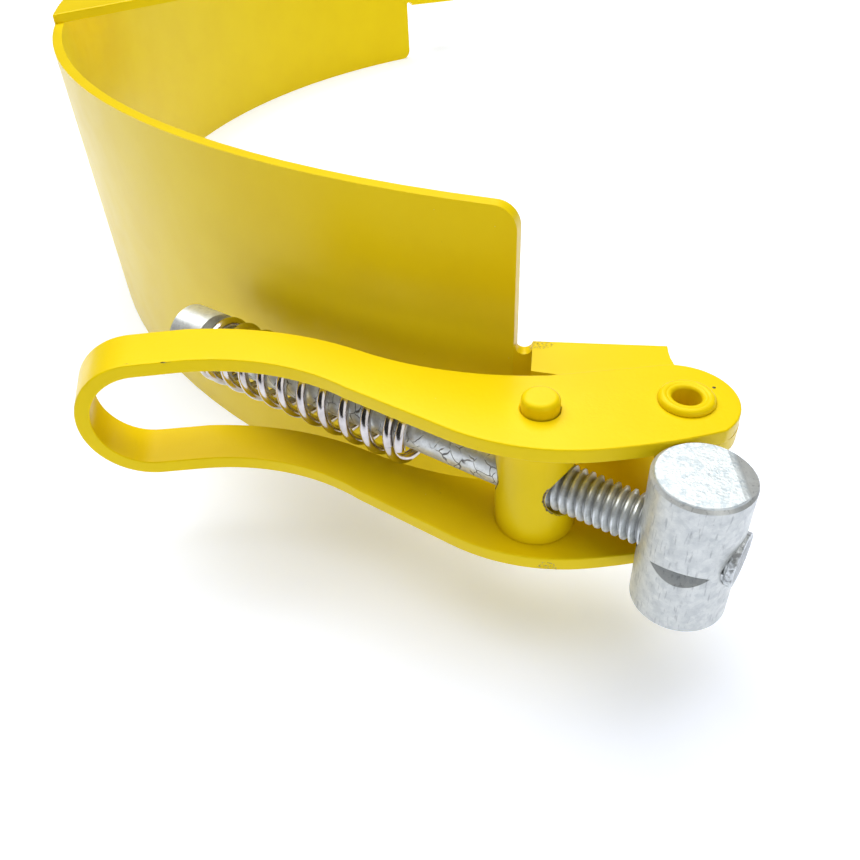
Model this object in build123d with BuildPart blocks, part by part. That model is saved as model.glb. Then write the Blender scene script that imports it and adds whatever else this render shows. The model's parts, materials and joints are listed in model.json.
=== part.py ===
from build123d import *
import math
import os

os.makedirs("parts", exist_ok=True)

# Band: a rolled steel strip, open towards +X, standing on its lower edge
axis_x, axis_y = 123.483, 8.004
band_radius = 194.0
sheet = 2.4
band_height = 70.0
half_arc = 64.55
band_corner = 4.0
mid_z = band_height / 2

# Bracket folded out of the strip at each end of the band
tab_turn = -12.0
tab_length = 22.6
notch_width = 2.9
ear_half = 10.0
ear_reach = 19.2
ear_offset = 23.3
ear_radius = 8.0
fold_radius = 0.9
neck_half = 9.8
neck_lap = 0.3

# Points of the ear's outline: x along the tab from its inner corner, y outwards
ear_root = (0, 9.5)
ear_step = (6, 10.5)
ear_hollow = (12, 16)
ear_flank = (24, 8)

# Lug welded on the upper rim, opposite the opening
lug_half_angle = 10.3
lug_taper = 34.4
lug_nose = 12.0

# Lever: one flat bar folded into a U, its two arms pivoting outside the ears
lever_turn = 175.0
lever_plate = 2.6
lever_half = 12.7
loop_half = 12.1
loop_start = 82.3
loop_turn = 14.6
pinch_start = 30.0
handle_front = -15.1
handle_back = -25.2
handle_start = 82.0
handle_run, handle_rise = 24.0, 2.65

# Points of the lever's outline: x from the pivot towards the handle, y to the front
nose_points = ((-3.9, 7.3), (-7.9, 0.4), (0.4, -9.5))
back_points = ((20, -7.5), (50, -16.2))
front_points = ((52, -6.2), (36, 4.8), (14, 10.6))

# Pivot rivet and trunnion
rivet_radius = 3.175
rivet_bore = 2.2
flange_radius = 4.3
flange_height = 0.9
flange_curl = 0.5
side_gap = 0.1
run_gap = 0.05
snug_gap = 0.02
trunnion_along = 21.85
trunnion_aside = 0.97
barrel_radius = 6.6
pin_radius = 2.98
pin_proud = 2.4
cross_hole = 5.05

# Bolt: 5/16-18 UNC socket head cap screw, its tip cut and peened over. It lies to one side of its hole
bolt_turn = 140.4
bolt_aside = 0.9
shank_radius = 3.97
thread_radius = 3.92
thread_pitch = 1.411
thread_depth = 0.8
thread_floor = 0.16
thread_mouth = 1.24
thread_length = 33.0
peen_radius = 4.2
peen_height = 1.1
tip_at = -33.1
head_at = 71.7
head_radius = 5.95
head_height = 7.94
socket_flats = 6.35
socket_depth = 4.0

# Spring on the bolt, and the cross bar on its end
wire_radius = 0.97
coil_radius = 5.8
spring_drop = 0.8
open_coils = 9
free_pitch = 2.3
seat_pitch = 2.1
spring_free_at = 21.3
bar_at = -25.55
bar_radius = 7.15
bar_length = 25.4
bar_chamfer = 0.65
nick_depth = 1.35
nick_top, nick_heart, nick_foot = 0.8, -0.6, -4.2
nick_turn = 239
chip_from_centre = 3.6
chip_depth = 0.8
chip_turn = -7
over = 1.0


def polar(radius, degrees):
    """Point at a radius and an angle, in the plane."""
    return (radius * math.cos(math.radians(degrees)), radius * math.sin(math.radians(degrees)))


def level(x, y, z, turn):
    """Horizontal plane at a point given from the band's axis, its x axis along an angle."""
    return Plane(origin=(axis_x + x, axis_y + y, z), x_dir=(*polar(1, turn), 0), z_dir=(0, 0, 1))


def upright(x, y, turn):
    """Vertical plane at mid height, its x axis along an angle and its y axis up."""
    side = polar(1, turn - 90)
    return Plane(origin=(axis_x + x, axis_y + y, mid_z), x_dir=(*polar(1, turn), 0), z_dir=(*side, 0))


# Inner corner of the bracket where its ears start, just past the notch, and the pivot beyond it
end_x, end_y = polar(band_radius - sheet / 2, 180 + half_arc)
tab_x, tab_y = polar(1, tab_turn)
corner_x = end_x + notch_width * tab_x - sheet / 2 * tab_y
corner_y = end_y + notch_width * tab_y + sheet / 2 * tab_x
pivot_x = corner_x + ear_offset * tab_x + ear_reach * tab_y
pivot_y = corner_y + ear_offset * tab_y - ear_reach * tab_x

# Trunnion centre on the lever, and points along the bolt from it, positive towards the head
arm_x, arm_y = polar(1, lever_turn)
trunnion_x = pivot_x + trunnion_along * arm_x - trunnion_aside * arm_y
trunnion_y = pivot_y + trunnion_along * arm_y + trunnion_aside * arm_x
bolt_x, bolt_y = polar(1, bolt_turn)


def ear_plane(z):
    """Horizontal plane with its origin at the bracket's corner and its y axis outwards."""
    return Plane(origin=(axis_x + corner_x, axis_y + corner_y, z), x_dir=(tab_x, tab_y, 0), z_dir=(0, 0, -1))


def across_bolt(distance, aside=bolt_aside, drop=0):
    """Plane square to the bolt, facing its head, its origin on the bolt's axis unless said otherwise."""
    place_x = axis_x + trunnion_x + distance * bolt_x - aside * bolt_y
    place_y = axis_y + trunnion_y + distance * bolt_y + aside * bolt_x
    return Plane(
        origin=(place_x, place_y, mid_z - drop), x_dir=(bolt_y, -bolt_x, 0), z_dir=(bolt_x, bolt_y, 0)
    )


# Band: half the strip and one bracket, then its mirror image
with BuildPart() as band:
    with BuildSketch(level(0, 0, 0, 180)):
        with BuildLine():
            inner = CenterArc((0, 0), band_radius - sheet, 0, half_arc)
            outer = CenterArc((0, 0), band_radius, 0, half_arc)
            Line(inner @ 0, outer @ 0)
            Line(inner @ 1, outer @ 1)
        make_face()
    extrude(amount=band_height)
    end_face = band.faces().sort_by(Axis.X)[-1]
    fillet(end_face.edges().sort_by(SortBy.LENGTH)[:2], band_corner)
    with BuildSketch(upright(corner_x, corner_y, tab_turn)):
        with Locations((-notch_width - neck_lap, 0)):
            Rectangle(notch_width + over, 2 * neck_half, align=(Align.MIN, Align.CENTER))
        Rectangle(tab_length, 2 * ear_half, align=(Align.MIN, Align.CENTER))
        with Locations((-notch_width / 2, neck_half), (-notch_width / 2, -neck_half)):
            Circle(notch_width / 2, mode=Mode.SUBTRACT)
    extrude(amount=sheet)
    with BuildSketch(ear_plane(mid_z + ear_half), ear_plane(mid_z - ear_half + sheet)):
        with BuildLine():
            lobe = CenterArc((ear_offset, ear_reach), ear_radius, 150, -200)
            ThreePointArc(ear_step, ear_hollow, lobe @ 0)
            Polyline(ear_step, ear_root, (0, 0), (tab_length, 0), (tab_length, sheet))
            ThreePointArc((tab_length, sheet), ear_flank, lobe @ 1)
        make_face()
        with Locations((ear_offset, ear_reach)):
            Circle(rivet_radius + snug_gap, mode=Mode.SUBTRACT)
    extrude(amount=sheet)
    for z in (mid_z + ear_half, mid_z - ear_half):
        fold = (axis_x + corner_x + tab_length / 2 * tab_x, axis_y + corner_y + tab_length / 2 * tab_y, z)
        fillet(band.edges().sort_by_distance(fold)[0], fold_radius)
    mirror(about=Plane(origin=(axis_x, axis_y, 0), x_dir=(1, 0, 0), z_dir=(0, 1, 0)))
band.part.label = "band"
export_step(band.part, "parts/band.step")

# Lug on the rim: its outer edge follows the band, its sides taper to a round nose
with BuildPart() as rim_lug:
    with BuildSketch(level(0, 0, band_height, 180)):
        with BuildLine():
            rim = CenterArc((0, 0), band_radius, -lug_half_angle, 2 * lug_half_angle)
            rim_x, rim_y = polar(band_radius, lug_half_angle)
            taper_x, taper_y = polar(1, lug_taper)
            nose_x = rim_x - (rim_y * taper_x - lug_nose) / taper_y
            upper = (nose_x - lug_nose * taper_y, lug_nose * taper_x)
            lower = (nose_x - lug_nose * taper_y, -lug_nose * taper_x)
            Line(rim @ 1, upper)
            ThreePointArc(upper, (nose_x - lug_nose, 0), lower)
            Line(lower, rim @ 0)
        make_face()
    extrude(amount=sheet)
    fillet(rim_lug.edges().group_by(Axis.Z)[-1], 0.4)
rim_lug.part.label = "rim_lug"
export_step(rim_lug.part, "parts/rim_lug.step")

# Lever: the blank's outline in plan, kept where it meets the folded U seen from the side.
# The fold is not square to the arms: it is turned with the end of the handle
with BuildPart() as lever:
    with BuildSketch(level(pivot_x, pivot_y, mid_z, lever_turn)):
        with BuildLine():
            nose = ThreePointArc(*nose_points)
            back = Line(nose @ 1, back_points[0])
            back_in = TangentArc(back @ 1, back_points[1], tangent=(1, 0))
            back_out = TangentArc(back_in @ 1, (handle_start, handle_back), tangent=back_in % 1)
            past_loop = handle_start + handle_run
            back_corner = (past_loop, handle_back + handle_rise)
            front_corner = (past_loop, handle_front + handle_rise)
            Polyline(back_out @ 1, back_corner, front_corner)
            handle = Line(front_corner, (handle_start, handle_front))
            front_in = TangentArc(handle @ 1, front_points[0], tangent=handle % 1)
            front = Line(front_in @ 1, front_points[1])
            front_out = TangentArc(front @ 1, front_points[2], tangent=front % 1)
            TangentArc(front_out @ 1, nose @ 0, tangent=front_out % 1)
        make_face()
    extrude(amount=lever_half + over, both=True)
    with BuildSketch(upright(pivot_x, pivot_y, lever_turn + loop_turn)):
        with BuildLine():
            past_nose = -2 * ear_radius
            for half, bend in ((lever_half, loop_half), (lever_half - lever_plate, loop_half - lever_plate)):
                loop = CenterArc((loop_start, 0), bend, -90, 180)
                Polyline(loop @ 1, (pinch_start, half), (past_nose, half))
                Polyline(loop @ 0, (pinch_start, -half), (past_nose, -half))
            for side in (1, -1):
                Line((past_nose, side * half), (past_nose, side * lever_half))
        make_face()
    extrude(amount=-2 * handle_back, both=True, mode=Mode.INTERSECT)
    with BuildSketch(level(pivot_x, pivot_y, mid_z, lever_turn)):
        Circle(rivet_radius + run_gap)
        with Locations((trunnion_along, trunnion_aside)):
            Circle(pin_radius + run_gap)
    extrude(amount=lever_half + over, both=True, mode=Mode.SUBTRACT)
lever.part.label = "lever"
export_step(lever.part, "parts/lever.step")

# Pivot rivet: a tube with a rolled flange outside each arm of the lever
with BuildPart() as pivot_rivet:
    with BuildSketch(upright(pivot_x, pivot_y, 0)):
        with BuildLine():
            flange_in = lever_half + side_gap
            flange_out = flange_in + flange_height
            Polyline((rivet_bore, flange_curl - flange_out), (rivet_bore, flange_out - flange_curl))
            for side in (1, -1):
                curl = ThreePointArc(
                    (rivet_bore, side * (flange_out - flange_curl)),
                    (rivet_bore + flange_curl / 2, side * (flange_out - flange_curl / 4)),
                    (rivet_bore + 1.6 * flange_curl, side * flange_out),
                )
                edge = ThreePointArc(
                    curl @ 1,
                    (flange_radius - flange_height / 5, side * (flange_out - flange_height / 4)),
                    (flange_radius, side * flange_in),
                )
                Polyline(edge @ 1, (rivet_radius, side * flange_in), (rivet_radius, 0))
        make_face()
    revolve(axis=Axis((axis_x + pivot_x, axis_y + pivot_y, 0), (0, 0, 1)))
pivot_rivet.part.label = "pivot_rivet"
export_step(pivot_rivet.part, "parts/pivot_rivet.step")

# Trunnion: a barrel between the arms with a turned-down pin through each, cross-drilled for the bolt
with BuildPart() as trunnion:
    with BuildSketch(level(trunnion_x, trunnion_y, mid_z, bolt_turn)):
        Circle(barrel_radius)
    extrude(amount=lever_half - lever_plate - side_gap, both=True)
    with BuildSketch(level(trunnion_x, trunnion_y, mid_z, bolt_turn)):
        Circle(pin_radius)
    extrude(amount=lever_half + pin_proud, both=True)
    levels = trunnion.edges().group_by(Axis.Z)
    fillet([levels[0], levels[-1]], 0.9)
    with BuildSketch(across_bolt(0, aside=0)):
        Circle(cross_hole)
    extrude(amount=barrel_radius + over, both=True, mode=Mode.SUBTRACT)
trunnion.part.label = "trunnion"
export_step(trunnion.part, "parts/trunnion.step")

# Bolt: plain shank and socket head, with a helical thread cut from the tip
with BuildPart() as bolt:
    with BuildSketch(across_bolt(tip_at)):
        Circle(thread_radius)
    extrude(amount=head_at - tip_at)
    with BuildSketch(across_bolt(tip_at)):
        Circle(peen_radius)
    extrude(amount=peen_height)
    fillet(bolt.edges().filter_by(GeomType.CIRCLE).group_by(SortBy.RADIUS)[-1], 0.2)
    with BuildSketch(across_bolt(tip_at + thread_length)):
        Circle(shank_radius)
    extrude(amount=head_at - tip_at - thread_length)
    with BuildSketch(across_bolt(head_at)):
        Circle(head_radius)
    extrude(amount=head_height)
    head_end = across_bolt(head_at + head_height)
    chamfer(bolt.edges().filter_by(GeomType.CIRCLE).sort_by_distance(head_end.origin)[0], 0.5)
    with BuildSketch(head_end):
        RegularPolygon(socket_flats / 2, 6, major_radius=False)
    extrude(amount=-socket_depth, mode=Mode.SUBTRACT)
    lead_in = across_bolt(tip_at + peen_height + thread_pitch / 2)
    with BuildLine():
        turns = thread_length - peen_height - 1.5 * thread_pitch
        spiral = Helix(thread_pitch, turns, thread_radius, center=lead_in.origin, direction=lead_in.z_dir)
    radial = (spiral @ 0 - lead_in.origin).normalized()
    with BuildSketch(Plane(origin=spiral @ 0, x_dir=radial, z_dir=spiral % 0)):
        with BuildLine():
            Polyline(
                (-thread_depth, -thread_floor / 2), (-thread_depth, thread_floor / 2),
                (side_gap, thread_mouth / 2), (side_gap, -thread_mouth / 2), close=True
            )
        make_face()
    sweep(path=spiral, is_frenet=True, mode=Mode.SUBTRACT)
bolt.part.label = "bolt"
export_step(bolt.part, "parts/bolt.step")

# Spring: it hangs on the shank, with one closed coil at each end of its open coils
with BuildPart() as spring:
    start = spring_free_at + wire_radius
    finish = head_at - wire_radius - side_gap
    middle = finish - start - free_pitch - seat_pitch
    runs = ((free_pitch, free_pitch), (middle / open_coils, middle), (seat_pitch, seat_pitch))
    for pitch, height in runs:
        seat = across_bolt(start, drop=spring_drop)
        with BuildLine():
            coil = Helix(pitch, height, coil_radius, center=seat.origin, direction=seat.z_dir)
        with BuildSketch(Plane(origin=coil @ 0, z_dir=coil % 0)):
            Circle(wire_radius)
        sweep(path=coil, is_frenet=True)
        start += height
spring.part.label = "spring"
export_step(spring.part, "parts/spring.step")

# Cross bar: a round bar tapped crosswise for the bolt, nicked on its side and on one rim
with BuildPart() as cross_bar:
    bar_x = trunnion_x + bar_at * bolt_x - bolt_aside * bolt_y
    bar_y = trunnion_y + bar_at * bolt_y + bolt_aside * bolt_x
    with BuildSketch(level(bar_x, bar_y, mid_z, bolt_turn)):
        Circle(bar_radius)
    extrude(amount=bar_length / 2, both=True)
    chamfer(cross_bar.edges().filter_by(GeomType.CIRCLE), bar_chamfer)
    with BuildSketch(across_bolt(bar_at)):
        Circle(thread_radius + snug_gap)
    extrude(amount=bar_radius + over, both=True, mode=Mode.SUBTRACT)
    with BuildSketch(upright(bar_x, bar_y, nick_turn)):
        with BuildLine():
            outside = bar_radius + over
            heart = (bar_radius - nick_depth, nick_heart)
            Polyline(heart, (outside, nick_top), (outside, nick_foot), close=True)
        make_face()
    extrude(amount=bar_radius, both=True, mode=Mode.SUBTRACT)
    with BuildSketch(upright(bar_x, bar_y, chip_turn)):
        with BuildLine():
            top = bar_length / 2
            chip_top = top + side_gap
            chip_start = (chip_from_centre, chip_top)
            Polyline(chip_start, (outside, chip_top), (outside, top - chip_depth), close=True)
        make_face()
    extrude(amount=bar_radius, both=True, mode=Mode.SUBTRACT)
cross_bar.part.label = "cross_bar"
export_step(cross_bar.part, "parts/cross_bar.step")
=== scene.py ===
import json
import math

import bpy
from mathutils import Matrix, Vector


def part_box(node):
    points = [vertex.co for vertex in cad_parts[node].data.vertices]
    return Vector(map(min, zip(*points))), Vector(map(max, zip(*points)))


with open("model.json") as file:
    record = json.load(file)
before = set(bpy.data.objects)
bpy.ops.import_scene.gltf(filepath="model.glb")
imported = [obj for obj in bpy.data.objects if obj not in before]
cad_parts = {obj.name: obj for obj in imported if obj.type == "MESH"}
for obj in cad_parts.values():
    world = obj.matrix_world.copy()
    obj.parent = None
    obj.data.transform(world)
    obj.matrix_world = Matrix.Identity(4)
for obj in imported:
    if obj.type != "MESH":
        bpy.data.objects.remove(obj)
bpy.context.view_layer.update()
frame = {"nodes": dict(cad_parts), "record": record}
nodes = frame["nodes"]
MM = 0.001


def middle(node):
    low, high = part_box(node)
    return (low + high) / 2


# Places that the frame gives: the lever's pivot, the trunnion, and the way to the bolt's head
PIVOT = middle("pivot_rivet")
TRUNNION = middle("trunnion")
BAR = middle("cross_bar")
LEVER_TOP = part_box("lever")[1].z
slide = next(j for j in frame["record"]["behaviour"]["joints"] if j["name"] == "bolt_slide")
BOLT_WAY = -Vector(slide["axis"])

# Radii that the finishes follow: the trunnion's hole and pins, the bolt's shank and thread root
HOLE_RADIUS = 5.15 * MM
PIN_RADIUS = 2.98 * MM
SHANK_RADIUS = 3.97 * MM
THREAD_ROOT = 3.15 * MM

# Marks on the coat: worn edge, scuffed belly and dot on the lever, rubbed corner on the bracket
WORN_EDGE, WORN_WAY = PIVOT + Vector((-84.0, 22.4, 12.0)) * MM, (1, -0.07, 0)
SCUFFED_BELLY = PIVOT + Vector((-21.5, -9.1, -12.5)) * MM
LEVER_DOT = PIVOT + Vector((5.1, 2.5, 12.7)) * MM
RUBBED_CORNER = PIVOT + Vector((-17.8, 22.6, 10)) * MM
FRONT_WAY = (0.55, -0.83, 0)
LOW_WAY = (-0.45, -0.45, -0.8)

# Where the bolt's peened tip ends along it, and where the bar's end faces begin
PEENED_BELOW = (-6.6 * MM, -6.2 * MM)
BAR_END_FROM = (12.45 * MM, 12.6 * MM)

# Camera: a short lens close to the lever end, looking down along the band's chord
FOCAL, SENSOR = 34.08, 36.0
EYE = PIVOT + Vector((-42.935, -93.485, 88.1)) * MM
HEADING, PITCH, ROLL = math.radians(2.7), math.radians(39.47), math.radians(-2.993)

# Light: a large soft lamp above and behind, over a sky that is dimmer low down and behind the camera
KEY_POWER, KEY_SIZE, KEY_PLACE = 24.0, 1.5, Vector((-0.1, 0.25, 1.1))
FILL_POWER, FILL_SIZE, FILL_PLACE = 3.4, 1.0, Vector((0.4, -1.15, 0.5))
SKY_LOW, SKY_HIGH, SKY_SEEN = 0.45, 0.75, 1.0
SKY_LEAN, SKY_START, SKY_END = 0.45, -0.4, 0.7
FLOOR_SIZE, FLOOR_ROUGH, FLOOR_SHINE, FLOOR_GLOW = 12, 0.7, 0.2, 0.34
CLIP_NEAR, CLIP_FAR = 0.005, 20

# Colours
YELLOW = (0.90, 0.665, 0.003)
DEEP_YELLOW = (0.86, 0.61, 0.002)
SHEEN = (1.0, 0.82, 0.12)
BARE, BARE_BRIGHT = (0.10, 0.075, 0.05), (0.34, 0.30, 0.25)
# Pinholes are the coat's own; the pale flecks are painted glints of the coat's sparkle
PINHOLE, GLINT_FLECK = (0.2, 0.13, 0.01), (0.95, 0.85, 0.35)
ZINC_BOLT, ZINC_BAR, ZINC_DULL = (0.82, 0.85, 0.85), (0.72, 0.735, 0.70), (0.50, 0.525, 0.52)
# The bolt's darkening colour serves real plating cracks and peening scars, and painted shade in the thread
# valleys
CRACK_SCAR_AND_SHADE_DARK, ZINC_SPECK = (0.05, 0.045, 0.04), (0.22, 0.23, 0.24)
END_PLATE, END_FLAKE = (0.76, 0.81, 0.81), (0.58, 0.65, 0.68)
WIRE_PALE, WIRE_BROWN = (0.66, 0.62, 0.60), (0.50, 0.46, 0.44)
PAPER_LOW, PAPER_HIGH, PAPER_GLOW = (0.78, 0.82, 0.92), (0.80, 0.84, 0.94), (0.86, 0.90, 1, 1)

# Finish: how far the peel stands, how metallic the zinc reads, and how edges are rounded (angles in degrees)
PEEL_BAND, PEEL_PLAIN, PEEL_LATCH = 0.012 * MM, 0.02 * MM, 0.025 * MM
ZINC_METAL = 0.55
ROUND_BAND, ROUND_LEVER, ROUND_TRUNNION = 0.3 * MM, 0.35 * MM, 0.2 * MM
MERGE_FLAT, MERGE_CURVED = 0.4, 0.05
WELD_GAP, BEVEL_STEPS, BEVEL_FROM, NORMAL_WEIGHT = 0.005 * MM, 3, 40, 80


def link(thing):
    bpy.context.scene.collection.objects.link(thing)
    return thing


def make_camera():
    data = bpy.data.cameras.new("camera")
    data.sensor_width, data.lens = SENSOR, FOCAL
    data.clip_start, data.clip_end = CLIP_NEAR, CLIP_FAR
    camera = link(bpy.data.objects.new("camera", data))
    ahead = Vector((math.sin(HEADING), math.cos(HEADING), 0))
    forward = ahead * math.cos(PITCH) + Vector((0, 0, -math.sin(PITCH)))
    right = Vector((ahead.y, -ahead.x, 0))
    upward = ahead * math.sin(PITCH) + Vector((0, 0, math.cos(PITCH)))
    side = right * math.cos(ROLL) + upward * math.sin(ROLL)
    top = upward * math.cos(ROLL) - right * math.sin(ROLL)
    turn = Matrix((side, top, -forward)).transposed().to_4x4()
    camera.matrix_world = Matrix.Translation(EYE) @ turn
    bpy.context.scene.camera = camera


class Shader:
    """A material's nodes: each call adds a node and wires what it is given."""

    def __init__(self, name):
        self.material = bpy.data.materials.new(name)
        self.material.use_nodes = True
        self.tree = self.material.node_tree
        self.surface = self.tree.nodes["Principled BSDF"]
        self.place = self.node("ShaderNodeTexCoord").outputs["Object"]

    def put(self, socket, value):
        if isinstance(value, bpy.types.NodeSocket):
            self.tree.links.new(value, socket)
        elif hasattr(socket.default_value, "__len__") and len(value) < len(socket.default_value):
            socket.default_value = (*value, 1)
        else:
            socket.default_value = value

    def node(self, kind, inputs=(), **settings):
        made = self.tree.nodes.new(kind)
        for key, value in settings.items():
            setattr(made, key, value)
        for key, value in dict(inputs).items():
            self.put(made.inputs[key], value)
        return made

    def math(self, operation, a, b=0.0, c=0.0):
        return self.node("ShaderNodeMath", {0: a, 1: b, 2: c}, operation=operation).outputs[0]

    def vector(self, operation, a, b=(0, 0, 0)):
        made = self.node("ShaderNodeVectorMath", {0: a, 1: b}, operation=operation)
        return made.outputs["Value" if operation in ("LENGTH", "DOT_PRODUCT", "DISTANCE") else "Vector"]

    def noise(self, size, detail=2.0, place=None, rough=0.5):
        inputs = {"Vector": place or self.place, "Scale": 1 / size, "Detail": detail, "Roughness": rough}
        return self.node("ShaderNodeTexNoise", inputs).outputs["Fac"]

    def ramp(self, value, start, end, low=0.0, high=1.0):
        """Low before start, high after end, smooth between them."""
        inputs = {"Value": value, "From Min": start, "From Max": end, "To Min": low, "To Max": high}
        return self.node("ShaderNodeMapRange", inputs, interpolation_type="SMOOTHSTEP").outputs["Result"]

    def both(self, *masks):
        result = masks[0]
        for mask in masks[1:]:
            result = self.math("MULTIPLY", result, mask)
        return result

    def either(self, *masks):
        result = masks[0]
        for mask in masks[1:]:
            result = self.math("MAXIMUM", result, mask)
        return result

    def mix(self, mask, a, b):
        made = self.node("ShaderNodeMix", {0: mask}, data_type="RGBA")
        self.put(made.inputs[6], a)
        self.put(made.inputs[7], b)
        return made.outputs[2]

    def specks(self, spacing, radius, share):
        """Small round dots, one in some of the cells of a pattern."""
        cells = self.node("ShaderNodeTexVoronoi", {"Vector": self.place, "Scale": 1 / spacing})
        dot = self.ramp(cells.outputs["Distance"], 0.6 * radius / spacing, radius / spacing, 1, 0)
        pick = self.node("ShaderNodeSeparateColor", {0: cells.outputs["Color"]}).outputs[0]
        return self.both(dot, self.math("LESS_THAN", pick, share))

    def near(self, point, radius, ragged=0.0, size=0.6 * MM):
        """A blotch around a point, its edge broken by noise."""
        away = self.vector("DISTANCE", self.place, tuple(point))
        if ragged:
            away = self.math("MULTIPLY_ADD", self.noise(size, 3), ragged, away)
            radius = radius + 0.5 * ragged
        return self.ramp(away, 0.8 * radius, radius, 1, 0)

    def from_axis(self, point, way):
        """Distance from a line."""
        offset = self.vector("SUBTRACT", self.place, tuple(point))
        return self.vector("LENGTH", self.vector("CROSS_PRODUCT", offset, tuple(way)))

    def along(self, point, way):
        offset = self.vector("SUBTRACT", self.place, tuple(point))
        return self.vector("DOT_PRODUCT", offset, tuple(way))

    def bump(self, height, distance, strength=1.0, under=None):
        inputs = {"Height": height, "Distance": distance, "Strength": strength}
        if under is not None:
            inputs["Normal"] = under
        return self.node("ShaderNodeBump", inputs).outputs["Normal"]

    def finish(self, colour, rough, normal=None, metal=0.0):
        self.put(self.surface.inputs["Base Color"], colour)
        self.put(self.surface.inputs["Roughness"], rough)
        self.put(self.surface.inputs["Metallic"], metal)
        if normal is not None:
            self.put(self.surface.inputs["Normal"], normal)
        return self.material


def powder_coat(name, peel_depth, damage=None):
    """Semi-gloss yellow coat with orange peel, pinholes, pale flecks of painted glint and, where damage
    says, bare metal.
    """
    s = Shader(name)
    drift = s.ramp(s.noise(14 * MM, 3), 0.35, 0.7)
    colour = s.mix(s.math("MULTIPLY", drift, 0.45), YELLOW, DEEP_YELLOW)
    pits = s.either(s.specks(3.6 * MM, 0.12 * MM, 0.25), s.specks(1.9 * MM, 0.06 * MM, 0.25))
    colour = s.mix(s.math("MULTIPLY", pits, 0.6), colour, PINHOLE)
    # Painted glints: a few pale bright dots stand in for the sparkle of the coat
    bright = s.specks(2.3 * MM, 0.09 * MM, 0.12)
    colour = s.mix(s.math("MULTIPLY", bright, 0.7), colour, GLINT_FLECK)
    peel = s.math("MULTIPLY_ADD", s.noise(2.6 * MM, 1), 0.5, s.noise(0.6 * MM, 2))
    normal = s.bump(peel, peel_depth)
    normal = s.bump(s.math("SUBTRACT", 1.0, pits), 0.02 * MM, under=normal)
    rough = s.ramp(s.noise(7 * MM, 2), 0.3, 0.75, 0.29, 0.33)
    metal = 0.0
    if damage is not None:
        mask = damage(s)
        grain = s.noise(0.5 * MM, 4)
        bare = s.mix(s.ramp(grain, 0.4, 0.65), BARE, BARE_BRIGHT)
        colour = s.mix(mask, colour, bare)
        rough = s.math("MULTIPLY_ADD", mask, 0.2, rough)
        normal = s.bump(s.math("SUBTRACT", 1.0, mask), 0.12 * MM, under=normal)
        metal = s.math("MULTIPLY", mask, 0.5)
    s.surface.inputs["Specular Tint"].default_value = (*SHEEN, 1)
    return s.finish(colour, rough, normal, metal)


def lever_damage(s):
    """The coat has cracked round the trunnion's pin, and is worn on the handle's edge and the belly."""
    top = Vector((TRUNNION.x, TRUNNION.y, LEVER_TOP))
    around = s.from_axis(top, (0, 0, 1))
    wander = s.math("MULTIPLY_ADD", s.noise(0.9 * MM, 3), 0.5 * MM, around)
    crack = s.ramp(wander, PIN_RADIUS + 0.28 * MM, PIN_RADIUS + 0.45 * MM, 1, 0)
    front = s.ramp(s.along(top, FRONT_WAY), -0.6 * MM, 1.2 * MM)
    flat = s.ramp(s.along(top, (0, 0, 1)), -0.6 * MM, -0.3 * MM)
    from_edge = s.from_axis(WORN_EDGE, WORN_WAY)
    stroke = s.math("MULTIPLY_ADD", s.noise(1.1 * MM, 3), 0.9 * MM, from_edge)
    along_edge = s.math("ABSOLUTE", s.along(WORN_EDGE, WORN_WAY))
    reach = s.ramp(along_edge, 2.5 * MM, 4.5 * MM, 1, 0)
    worn = s.both(s.ramp(stroke, 0.42 * MM, 0.55 * MM, 1, 0), reach)
    blotch = s.near(SCUFFED_BELLY, 2.0 * MM, 1.0 * MM, 0.4 * MM)
    scuff = s.both(blotch, s.ramp(s.noise(0.25 * MM, 2), 0.52, 0.62))
    dot = s.near(LEVER_DOT, 0.28 * MM, 0.2 * MM)
    return s.either(s.both(crack, front, flat), worn, s.math("MULTIPLY", scuff, 0.6), dot)


def trunnion_damage(s):
    """The bolt has chipped the rim of its hole."""
    around = s.from_axis(TRUNNION, tuple(BOLT_WAY))
    wander = s.math("MULTIPLY_ADD", s.noise(0.8 * MM, 3), 0.7 * MM, around)
    rim = s.ramp(wander, HOLE_RADIUS + 0.42 * MM, HOLE_RADIUS + 0.52 * MM, 1, 0)
    offset = s.vector("SUBTRACT", s.place, tuple(TRUNNION))
    middle_part = s.ramp(s.vector("LENGTH", offset), 7 * MM, 9 * MM, 1, 0)
    low_side = s.ramp(s.vector("DOT_PRODUCT", offset, LOW_WAY), -0.5 * MM, 1.5 * MM)
    outside = s.ramp(around, HOLE_RADIUS - 0.1 * MM, HOLE_RADIUS)
    return s.both(rim, outside, low_side, middle_part)


def bracket_damage(s):
    """Rubbed spots on the near bracket's folded edge."""
    rubbed = s.both(s.near(RUBBED_CORNER, 2.6 * MM, 2 * MM), s.ramp(s.noise(0.45 * MM, 3), 0.48, 0.62))
    return s.math("MULTIPLY", rubbed, 0.5)


def zinc(name, tint, detail):
    """Bright zinc plate: crystalline mottling, and what the part adds to colour, roughness and relief."""
    s = Shader(name)
    crystals = s.node("ShaderNodeTexVoronoi", {"Vector": s.place, "Scale": 1 / (0.9 * MM)})
    tone = s.node("ShaderNodeSeparateColor", {0: crystals.outputs["Color"]}).outputs[0]
    cloud = s.ramp(s.noise(1.6 * MM, 4, rough=0.65), 0.32, 0.7)
    dull = s.math("MULTIPLY_ADD", tone, 0.35, s.math("MULTIPLY", cloud, 0.5))
    colour = s.mix(dull, tint, ZINC_DULL)
    rough = s.math("MULTIPLY_ADD", cloud, 0.15, 0.3)
    normal = s.bump(s.noise(0.55 * MM, 4, rough=0.6), 0.02 * MM)
    colour, rough, normal = detail(s, colour, rough, normal)
    return s.finish(colour, rough, normal, ZINC_METAL)


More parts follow.
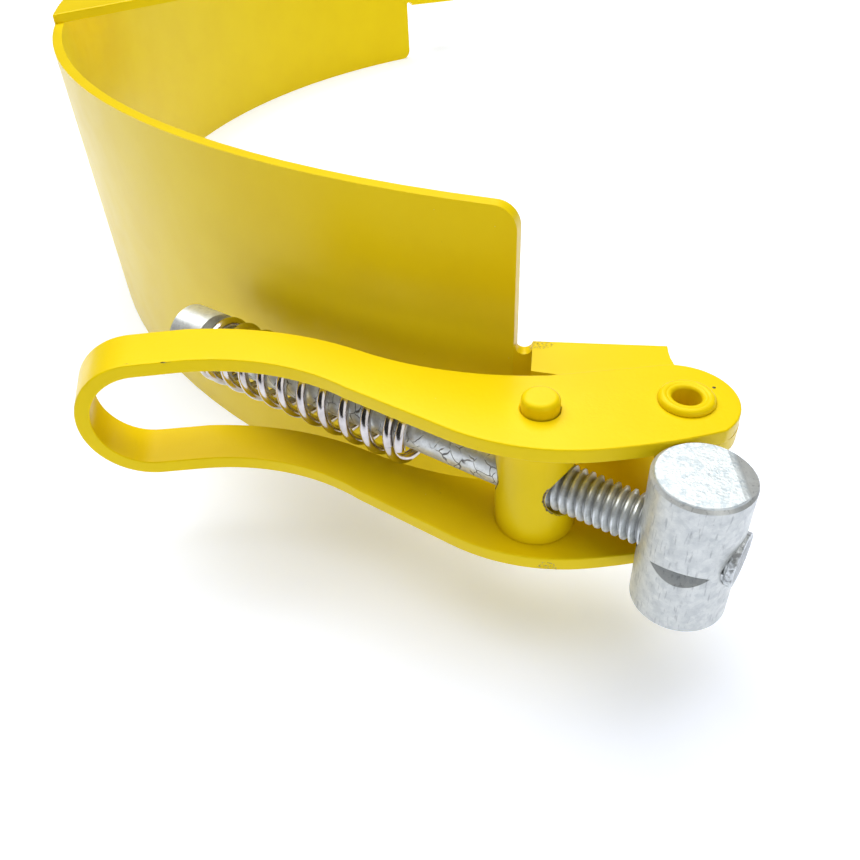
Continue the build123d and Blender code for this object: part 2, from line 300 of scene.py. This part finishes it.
def bolt_detail(s, colour, rough, normal):
    """Cracked plating on the shank, scars on the peened tip, and painted shade low in the thread."""
    from_line = s.from_axis(BAR, tuple(BOLT_WAY))
    wobble = s.node("ShaderNodeTexNoise", {"Vector": s.place, "Scale": 1 / (2.4 * MM)}).outputs["Color"]
    sway = {0: wobble, 1: (1.6 * MM,) * 3, 2: s.place}
    bent = s.node("ShaderNodeVectorMath", sway, operation="MULTIPLY_ADD").outputs[0]
    cells = {"Vector": bent, "Scale": 1 / (2.6 * MM)}
    plates = s.node("ShaderNodeTexVoronoi", cells, feature="DISTANCE_TO_EDGE").outputs["Distance"]
    broken = s.ramp(s.noise(2.6 * MM, 2), 0.42, 0.55)
    above = s.ramp(from_line, SHANK_RADIUS - 0.03 * MM, SHANK_RADIUS - 0.01 * MM)
    below = s.ramp(from_line, SHANK_RADIUS + 0.02 * MM, SHANK_RADIUS + 0.05 * MM, 1, 0)
    crack = s.both(s.ramp(plates, 0.012, 0.04, 1, 0), broken, s.both(above, below))
    # Painted shade: the thread is darkened towards its root, where shade falls
    valley_shade = s.ramp(from_line, THREAD_ROOT, THREAD_ROOT + 0.55 * MM, 1, 0)
    peened = s.ramp(s.along(BAR, tuple(BOLT_WAY)), *PEENED_BELOW, 1, 0)
    blows = s.noise(0.9 * MM, 4, rough=0.6)
    scars = s.both(peened, s.ramp(blows, 0.5, 0.62))
    strengths = ((crack, 0.85), (valley_shade, 0.4), (scars, 0.5))
    marks_and_shade = s.either(*(s.math("MULTIPLY", mask, strength) for mask, strength in strengths))
    colour = s.mix(marks_and_shade, colour, CRACK_SCAR_AND_SHADE_DARK)
    normal = s.bump(s.math("SUBTRACT", 1.0, crack), 0.06 * MM, under=normal)
    normal = s.bump(s.math("MULTIPLY", blows, peened), 0.35 * MM, under=normal)
    return colour, s.math("MULTIPLY_ADD", marks_and_shade, 0.25, rough), normal


def bar_detail(s, colour, rough, normal):
    """Rough sawn ends with flaked plate, and fine specks and streaks."""
    height = s.along(BAR, (0, 0, 1))
    ends = s.ramp(s.math("ABSOLUTE", height), *BAR_END_FROM)
    lumps = s.math("MULTIPLY_ADD", s.noise(1.3 * MM, 3), 0.8, s.noise(0.45 * MM, 3))
    rough_end = s.bump(s.math("MULTIPLY", lumps, ends), 0.07 * MM, under=normal)
    streak_place = s.vector("MULTIPLY", s.place, (1, 1, 0.16))
    streaks = s.ramp(s.noise(0.42 * MM, 3, streak_place), 0.56, 0.72)
    specks = s.either(s.specks(1.5 * MM, 0.09 * MM, 0.4), s.both(streaks, s.math("SUBTRACT", 1.0, ends)))
    colour = s.mix(s.math("MULTIPLY", specks, 0.45), colour, ZINC_SPECK)
    flakes = s.ramp(s.noise(1.1 * MM, 5, rough=0.75), 0.46, 0.6)
    colour = s.mix(ends, colour, END_PLATE)
    colour = s.mix(s.both(flakes, ends), colour, END_FLAKE)
    return colour, s.math("MULTIPLY_ADD", ends, 0.12, rough), rough_end


def spring_steel():
    """Drawn wire: smooth and bright, with faint drawing lines and a brown cast."""
    s = Shader("spring_wire")
    lines = s.noise(0.18 * MM, 2, s.vector("MULTIPLY", s.place, (1, 1, 0.3)))
    cast = s.ramp(s.noise(3 * MM, 2), 0.35, 0.7)
    colour = s.mix(cast, WIRE_PALE, WIRE_BROWN)
    rough = s.math("MULTIPLY_ADD", lines, 0.12, 0.1)
    return s.finish(colour, rough, s.bump(lines, 0.008 * MM), 1.0)


def coat(node, material, width=0.0, merge=MERGE_FLAT):
    """Gives a CAD node its finish. A width rounds its edges, once faces within merge degrees are one."""
    thing = nodes[node]
    thing.data.materials.clear()
    thing.data.materials.append(material)
    if width:
        normals = thing.data.attributes.get("custom_normal")
        if normals is not None:
            thing.data.attributes.remove(normals)
        thing.data.polygons.foreach_set("use_smooth", [True] * len(thing.data.polygons))
        weld = thing.modifiers.new("weld", "WELD")
        weld.merge_threshold = WELD_GAP
        flat = thing.modifiers.new("flat", "DECIMATE")
        flat.decimate_type, flat.angle_limit = "DISSOLVE", math.radians(merge)
        rounded = thing.modifiers.new("round", "BEVEL")
        rounded.width, rounded.segments = width, BEVEL_STEPS
        rounded.limit_method, rounded.angle_limit = "ANGLE", math.radians(BEVEL_FROM)
        weighted = thing.modifiers.new("normals", "WEIGHTED_NORMAL")
        weighted.weight = NORMAL_WEIGHT


def make_floor():
    bpy.ops.mesh.primitive_plane_add(size=FLOOR_SIZE, location=(0, 0, 0))
    floor = bpy.context.object
    floor.name = "floor"
    s = Shader("floor_paper")
    grain = s.noise(5 * MM, 3)
    colour = s.mix(grain, PAPER_LOW, PAPER_HIGH)
    s.surface.inputs["Specular IOR Level"].default_value = FLOOR_SHINE
    s.surface.inputs["Emission Color"].default_value = PAPER_GLOW
    s.surface.inputs["Emission Strength"].default_value = FLOOR_GLOW
    floor.data.materials.append(s.finish(colour, FLOOR_ROUGH))


def make_lamp(name, power, size, place):
    lamp = bpy.data.lights.new(name, "AREA")
    lamp.shape, lamp.size, lamp.energy = "SQUARE", size, power
    holder = link(bpy.data.objects.new(name, lamp))
    holder.location = place
    holder.rotation_euler = (-place).to_track_quat("-Z", "Y").to_euler()


def make_light():
    world = bpy.data.worlds.new("world")
    bpy.context.scene.world = world
    world.use_nodes = True
    tree = world.node_tree
    sky = tree.nodes["Background"]
    way = tree.nodes.new("ShaderNodeTexCoord")
    split = tree.nodes.new("ShaderNodeSeparateXYZ")
    tree.links.new(way.outputs["Generated"], split.inputs[0])
    lean = tree.nodes.new("ShaderNodeMath")
    lean.operation = "MULTIPLY_ADD"
    lean.inputs[1].default_value = SKY_LEAN
    tree.links.new(split.outputs["Y"], lean.inputs[0])
    tree.links.new(split.outputs["Z"], lean.inputs[2])
    rise = tree.nodes.new("ShaderNodeMapRange")
    rise.inputs["From Min"].default_value = SKY_START
    rise.inputs["From Max"].default_value = SKY_END
    rise.inputs["To Min"].default_value = SKY_LOW
    rise.inputs["To Max"].default_value = SKY_HIGH
    tree.links.new(lean.outputs[0], rise.inputs["Value"])
    path = tree.nodes.new("ShaderNodeLightPath")
    pick = tree.nodes.new("ShaderNodeMix")
    tree.links.new(path.outputs["Is Camera Ray"], pick.inputs[0])
    tree.links.new(rise.outputs["Result"], pick.inputs[2])
    pick.inputs[3].default_value = SKY_SEEN
    tree.links.new(pick.outputs[0], sky.inputs["Strength"])
    make_lamp("key", KEY_POWER, KEY_SIZE, KEY_PLACE)
    make_lamp("fill", FILL_POWER, FILL_SIZE, FILL_PLACE)
    bpy.context.scene.view_settings.view_transform = "Standard"


make_camera()
make_floor()
make_light()
plain_coat = powder_coat("yellow_coat", PEEL_PLAIN)
coat("band", powder_coat("yellow_coat_band", PEEL_BAND, bracket_damage), ROUND_BAND, MERGE_CURVED)
coat("rim_lug", plain_coat)
coat("lever", powder_coat("yellow_coat_lever", PEEL_LATCH, lever_damage), ROUND_LEVER)
coat("pivot_rivet", plain_coat)
coat("trunnion", powder_coat("yellow_coat_trunnion", PEEL_LATCH, trunnion_damage), ROUND_TRUNNION)
coat("bolt", zinc("zinc_bolt", ZINC_BOLT, bolt_detail))
coat("cross_bar", zinc("zinc_bar", ZINC_BAR, bar_detail))
coat("spring", spring_steel())
